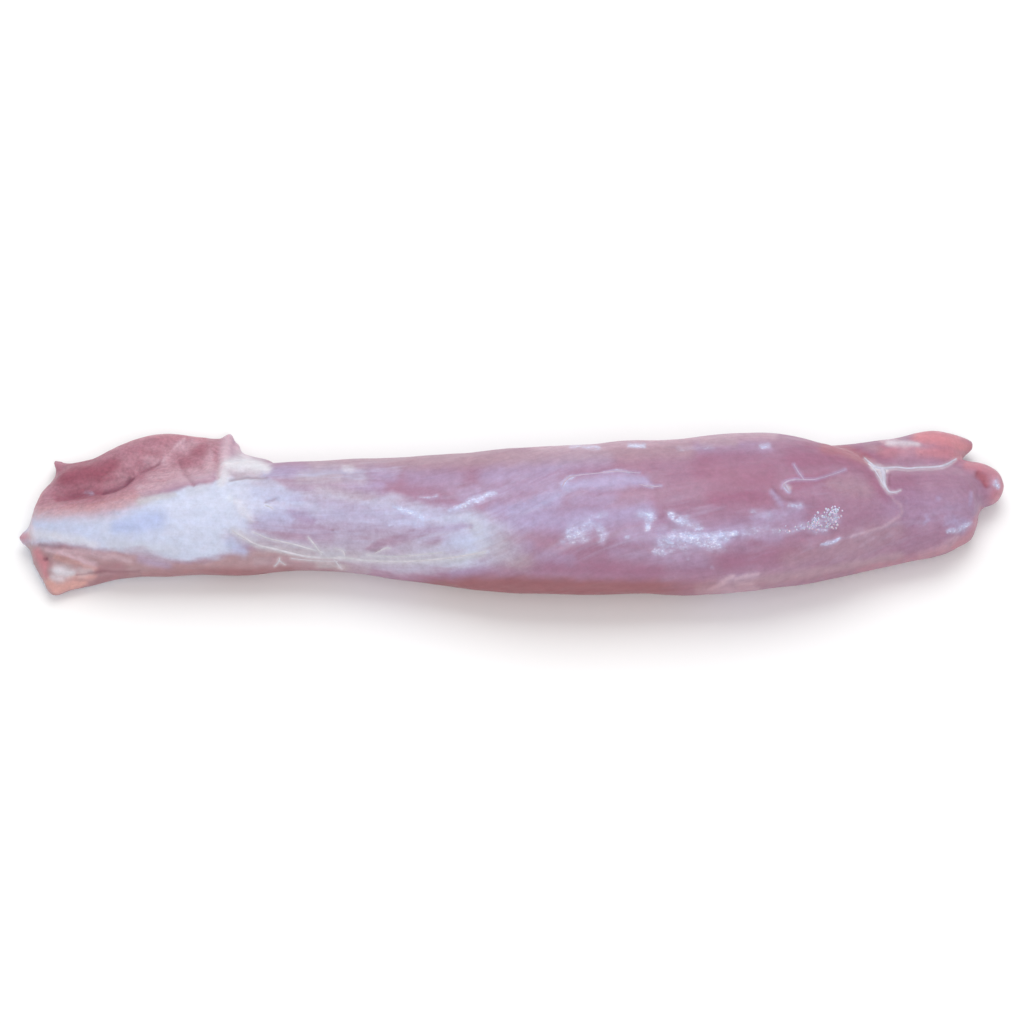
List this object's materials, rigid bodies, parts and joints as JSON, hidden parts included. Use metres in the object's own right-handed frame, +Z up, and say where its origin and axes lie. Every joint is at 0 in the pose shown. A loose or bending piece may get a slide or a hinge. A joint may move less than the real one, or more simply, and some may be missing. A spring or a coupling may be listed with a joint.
{
  "type": "raw pork tenderloin",
  "caption": "Raw pork tenderloin: one long tapering muscle lying on its flattened underside, with a silvery tendon end, a red flap, a side strip and an end knob.",
  "frame": {"origin": "under the middle of the piece, on the plane that it rests on", "axes": "+X along the muscle towards its blunt end, +Y towards the side with the flap and the side strip, +Z up"},
  "size_m": [0.3434, 0.068, 0.0401],
  "materials": {
    "raw_pork": "moist"
  },
  "bodies": {
    "root": {"tenderloin": "raw_pork"}
  },
  "joints": []
}
